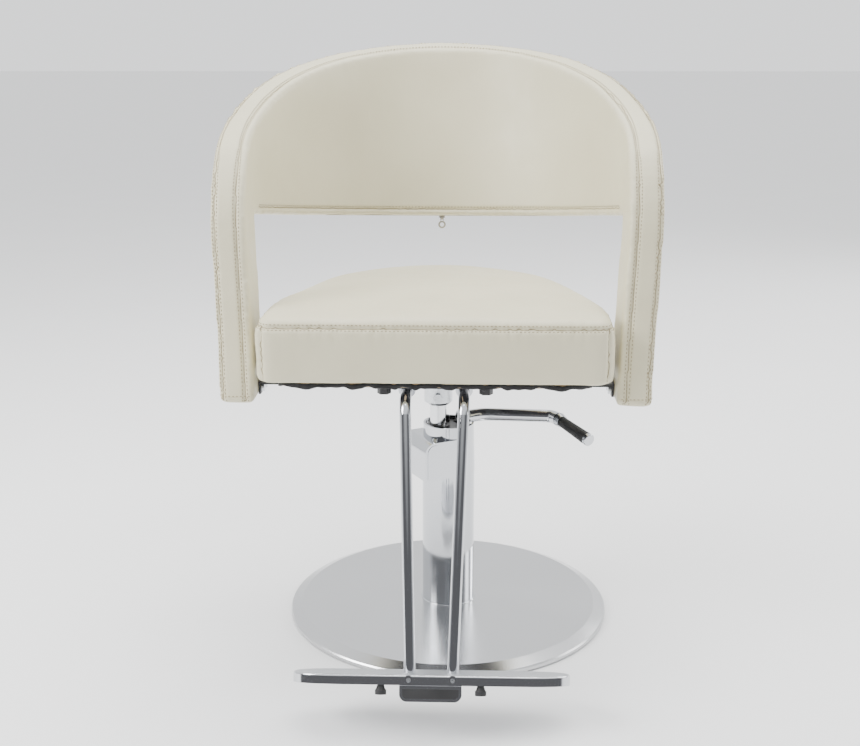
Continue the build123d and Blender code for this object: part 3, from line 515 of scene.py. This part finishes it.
def hem_line(side):
    """A level line round the foot of an arm: its outer face and its front edge."""
    foot = (FRONT_EDGE[0][0] + 0.004, FRONT_EDGE[0][1] + 0.010)
    outer = arm_line(side, 0.0, (BACK_FOOT[0], foot[1]), foot, 24)
    front_y = foot[0] - 0.002 + SY
    depths = np.linspace(0.004, 0.044, 12)
    front = [(side * wall_sizes(foot[1], depth)[0] + SX, front_y, foot[1]) for depth in depths]
    return outer + front


# ------------------------------------------------------------------ hoop upholstery
def puckered(points, outward, lines, groove, width, pucker):
    """Sinks a seam into a skin and gathers the vinyl beside it."""
    distance, index = distance_to(points, lines)
    sink = -groove * np.exp(-(distance / width) ** 2)
    gather = pucker * np.sin(index * 0.9 + 2 * np.sin(index * 0.21)) * np.exp(-(distance / (5 * width)) ** 2)
    return points + outward * (sink + gather * (distance > width * 0.6))[:, None]


def slow_noise(points, scale, seed):
    return np.array([noise.noise(Vector(p) * scale + Vector((seed, 0, 0))) for p in points])


def make_hoop():
    piece = soft_copy("hoop_upholstery", ["hoop_pad", "hoop_board"], 0.0045, 7, VINYL)
    seams = [resample(rim_line(0.005), 0.003), resample(rim_line(THICK - 0.012), 0.003)]
    low_seam = resample(back_line(THICK, 0.010), 0.003)
    mesh = piece.data
    points = positions(mesh)
    outward = normals(mesh)
    swell = 0.0010 + 0.0012 * slow_noise(points, 14.0, 3.1)
    points[:, 0] += bow(points[:, 0] - SX, points[:, 2])
    put(mesh, points + outward * swell[:, None])
    refine(piece)
    tree = surface_tree(piece)
    lines = [on_surface(tree, s)[0] for s in seams + [low_seam]]
    mesh = piece.data
    points = puckered(positions(mesh), normals(mesh), lines, 0.0030, 0.0032, 0.00015)
    put(mesh, points)
    for face in mesh.polygons:
        face.use_smooth = True
    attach(piece, "seat")
    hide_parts("hoop_pad")
    rows = [rim_line(0.0085), rim_line(0.0015, 0.004), rim_line(THICK - 0.0155), rim_line(THICK - 0.0085),
            back_line(THICK, 0.0135)]
    rows += [hem_line(side) for side in (1, -1)]
    cords = [rim_line(0.005), rim_line(THICK - 0.012), back_line(THICK, 0.010)]
    sewn = stitches("hoop_stitching", piece, rows, seams=cords)
    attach(sewn, "seat")
    return piece


# ------------------------------------------------------------------ seat cushion
def seat_outline(tree, middle, height, count=420):
    """Where a level line runs round the cushion."""
    out = []
    for turn in np.linspace(0, 2 * math.pi, count):
        away = Vector((math.cos(turn), math.sin(turn), 0))
        place, _, _, _ = tree.ray_cast(Vector((middle.x, middle.y, height)) + away * 0.6, -away)
        out.append(place)
    return np.array(out)


def corner_line(tree, low, high, side):
    """A seam up the front corner of the cushion."""
    edge = high.x if side > 0 else low.x
    out = []
    for z in np.linspace(low.z + 0.004, SEAT_SEAM_Z, 40):
        start = Vector((edge - side * 0.0085, low.y - 0.3, z))
        place, _, _, _ = tree.ray_cast(start, Vector((0, 1, 0)))
        out.append(place)
    return np.array(out)


def make_seat():
    piece = soft_copy("seat_upholstery", ["seat_cushion"], 0.005, 5, VINYL)
    low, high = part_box("seat_cushion")
    middle = (low + high) / 2
    mesh = piece.data
    points, outward = positions(mesh), normals(mesh)
    reach = 1 - ((points[:, 0] - middle.x) / 0.25) ** 2 - ((points[:, 1] - middle.y) / 0.24) ** 2
    top = np.clip((outward[:, 2] - 0.3) / 0.5, 0, 1)
    points[:, 2] += top * 0.008 * np.clip(reach, 0, 1)
    boxing = np.clip(1 - np.abs(outward[:, 2]) / 0.5, 0, 1)
    fold = points * np.array([5.0, 5.0, 22.0])
    drape = np.array([noise.noise(Vector(p) + Vector((9.3, 0, 0))) for p in fold])
    belly = np.cos(np.clip((points[:, 2] - 0.482) / 0.045, -1, 1) * math.pi / 2)
    swell = 0.0008 * slow_noise(points, 18.0, 7.7) + boxing * (0.0024 * belly + 0.0022 * drape)
    put(mesh, points + outward * swell[:, None])
    refine(piece)
    mesh = piece.data
    tree = surface_tree(piece)
    rim = resample(seat_outline(tree, middle, SEAT_SEAM_Z), 0.003)
    corners = [corner_line(tree, low, high, side) for side in (1, -1)]
    put(mesh, puckered(positions(mesh), normals(mesh), [rim] + corners, 0.0030, 0.0030, 0.0005))
    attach(piece, "seat")
    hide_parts("seat_cushion")
    tree = surface_tree(piece)
    rows = [seat_outline(tree, middle, SEAT_SEAM_Z + rise) for rise in (0.0036, -0.0036)]
    sewn = stitches("seat_stitching", piece, rows, seams=[rim] + corners)
    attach(sewn, "seat")
    return piece


def make_dust_cover():
    """Black cloth under the seat, turned up round the board's edge and slack between its staples."""
    low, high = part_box("dust_cover")
    middle = (low + high) / 2
    source = nodes["dust_cover"]
    tree = surface_tree(source)
    rim = seat_outline(tree, middle, middle.z, 481)[:-1]
    middle_xy = np.array([middle.x, middle.y])
    count = len(rim)
    around = np.linspace(0, 2 * math.pi, count, endpoint=False)
    slack = 0.0010 * np.sin(31 * around) + 0.0008 * np.sin(53 * around + 1.0) + 0.0005 * np.sin(97 * around)
    levels = [(1.0, high.z), (1.0, middle.z + 0.001), (1.0, low.z + 0.001), (0.994, low.z), (0.97, low.z),
              (0.93, low.z), (0.86, low.z), (0.7, low.z), (0.4, low.z), (0.05, low.z)]
    loops = []
    for index, (share, z) in enumerate(levels):
        points = np.empty((count, 3))
        points[:, :2] = middle_xy + (rim[:, :2] - middle_xy) * share
        sag = [1.0, 0.0][index] if index < 2 else (1.4 if share > 0.9 else 0.6)
        points[:, 2] = z + slack * sag
        if share == 1.0:
            flutter = 0.004 + 0.0035 * np.sin(37 * around + index)
            points[:, :2] += (points[:, :2] - middle_xy) * flutter[:, None]
        loops.append(points)
    builder = bmesh.new()
    rings = [[builder.verts.new(Vector(point)) for point in loop] for loop in loops]
    for upper, lower in zip(rings, rings[1:]):
        for k in range(count):
            builder.faces.new((upper[k - 1], upper[k], lower[k], lower[k - 1]))
    builder.faces.new(rings[-1])
    bmesh.ops.recalc_face_normals(builder, faces=builder.faces)
    mesh = bpy.data.meshes.new("dust_cloth")
    builder.to_mesh(mesh)
    builder.free()
    piece = new_object("dust_cloth", mesh, FINISHES["dust_cloth"])
    skin = piece.modifiers.new("thickness", "SOLIDIFY")
    skin.thickness = 0.0008
    skin.offset = -1.0
    baked(piece)
    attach(piece, "seat")
    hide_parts("dust_cover")
    return piece


def make_spring():
    """The pump's return spring, copied from the CAD part and attached to the base."""
    source = nodes["plunger_spring"]
    piece = new_object("return_spring", source.data.copy(), source.data.materials[0])
    piece.matrix_world = source.matrix_world
    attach(piece, "base")
    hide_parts("plunger_spring")
    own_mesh(piece)
    return piece


hoop = make_hoop()
seat = make_seat()
dust_cloth = make_dust_cover()
spring = make_spring()

# ------------------------------------------------------------------ floor, lights, camera
floor_mat, floor_tree, floor_shader = material("pale_floor", (0.93, 0.93, 0.93), roughness=0.9)
mottle = texture(floor_tree, "ShaderNodeTexNoise", coords(floor_tree), Scale=3.0)
two_colours(floor_tree, mottle.outputs["Fac"], (0.925, 0.925, 0.925), (0.935, 0.935, 0.935), floor_shader)
floor_mesh = bpy.data.meshes.new("floor")
floor_mesh.from_pydata([(-90, -2.6, 0), (90, -2.6, 0), (90, 120, 0), (-90, 120, 0)], [], [(0, 1, 2, 3)])
floor_mesh.materials.append(floor_mat)
floor = bpy.data.objects.new("floor", floor_mesh)
scene.collection.objects.link(floor)

world = bpy.data.worlds.new("studio")
scene.world = world
world.use_nodes = True
sky = world.node_tree
background = sky.nodes["Background"]
background.inputs["Strength"].default_value = 1.7
heading = add(sky, "ShaderNodeTexCoord")
parts = add(sky, "ShaderNodeSeparateXYZ")
sky.links.new(heading.outputs["Generated"], parts.inputs["Vector"])
# The front half of the horizon is dim, so that bright metal has something darker to reflect.
behind = spread(sky, parts.outputs["Y"], 1.0, 0.0, start=-0.30, end=0.05)
lowish = spread(sky, parts.outputs["Z"], 1.0, 0.0, start=0.38, end=0.62)
dark = add(sky, "ShaderNodeMath", operation="MULTIPLY")
sky.links.new(behind, dark.inputs[0])
sky.links.new(lowish, dark.inputs[1])
shade = add(sky, "ShaderNodeValToRGB")
shade.color_ramp.elements[0].color = (0.84, 0.85, 0.86, 1)
shade.color_ramp.elements[1].color = (0.11, 0.11, 0.115, 1)
sky.links.new(dark.outputs["Value"], shade.inputs["Fac"])
sky.links.new(shade.outputs["Color"], background.inputs["Color"])


def area_light(name, place, aim, size, power):
    lamp = bpy.data.lights.new(name, "AREA")
    lamp.shape = "RECTANGLE"
    lamp.size, lamp.size_y = size
    lamp.energy = power
    holder = bpy.data.objects.new(name, lamp)
    holder.location = place
    holder.rotation_euler = (Vector(aim) - Vector(place)).to_track_quat("-Z", "Y").to_euler()
    scene.collection.objects.link(holder)
    return holder


area_light("key", (-2.1, -1.0, 1.9), (0, 0, 0.6), (1.2, 1.2), 75)
area_light("top", (0.2, 0.3, 3.0), (0, 0.1, 0.5), (2.4, 2.4), 90)
area_light("side", (2.0, 0.2, 1.4), (0, 0, 0.5), (0.8, 1.6), 16)
area_light("glint", (2.7, 2.6, 1.8), (0, 0, 0.0), (1.2, 1.2), 40)

lens = bpy.data.cameras.new("camera")
lens.sensor_width = 36.0
lens.lens = 50.34
camera = bpy.data.objects.new("camera", lens)
camera.location = (0.0280, -1.84, 0.872)
camera.rotation_euler = (math.radians(75.5), 0, math.radians(1.8))
scene.collection.objects.link(camera)
scene.camera = camera
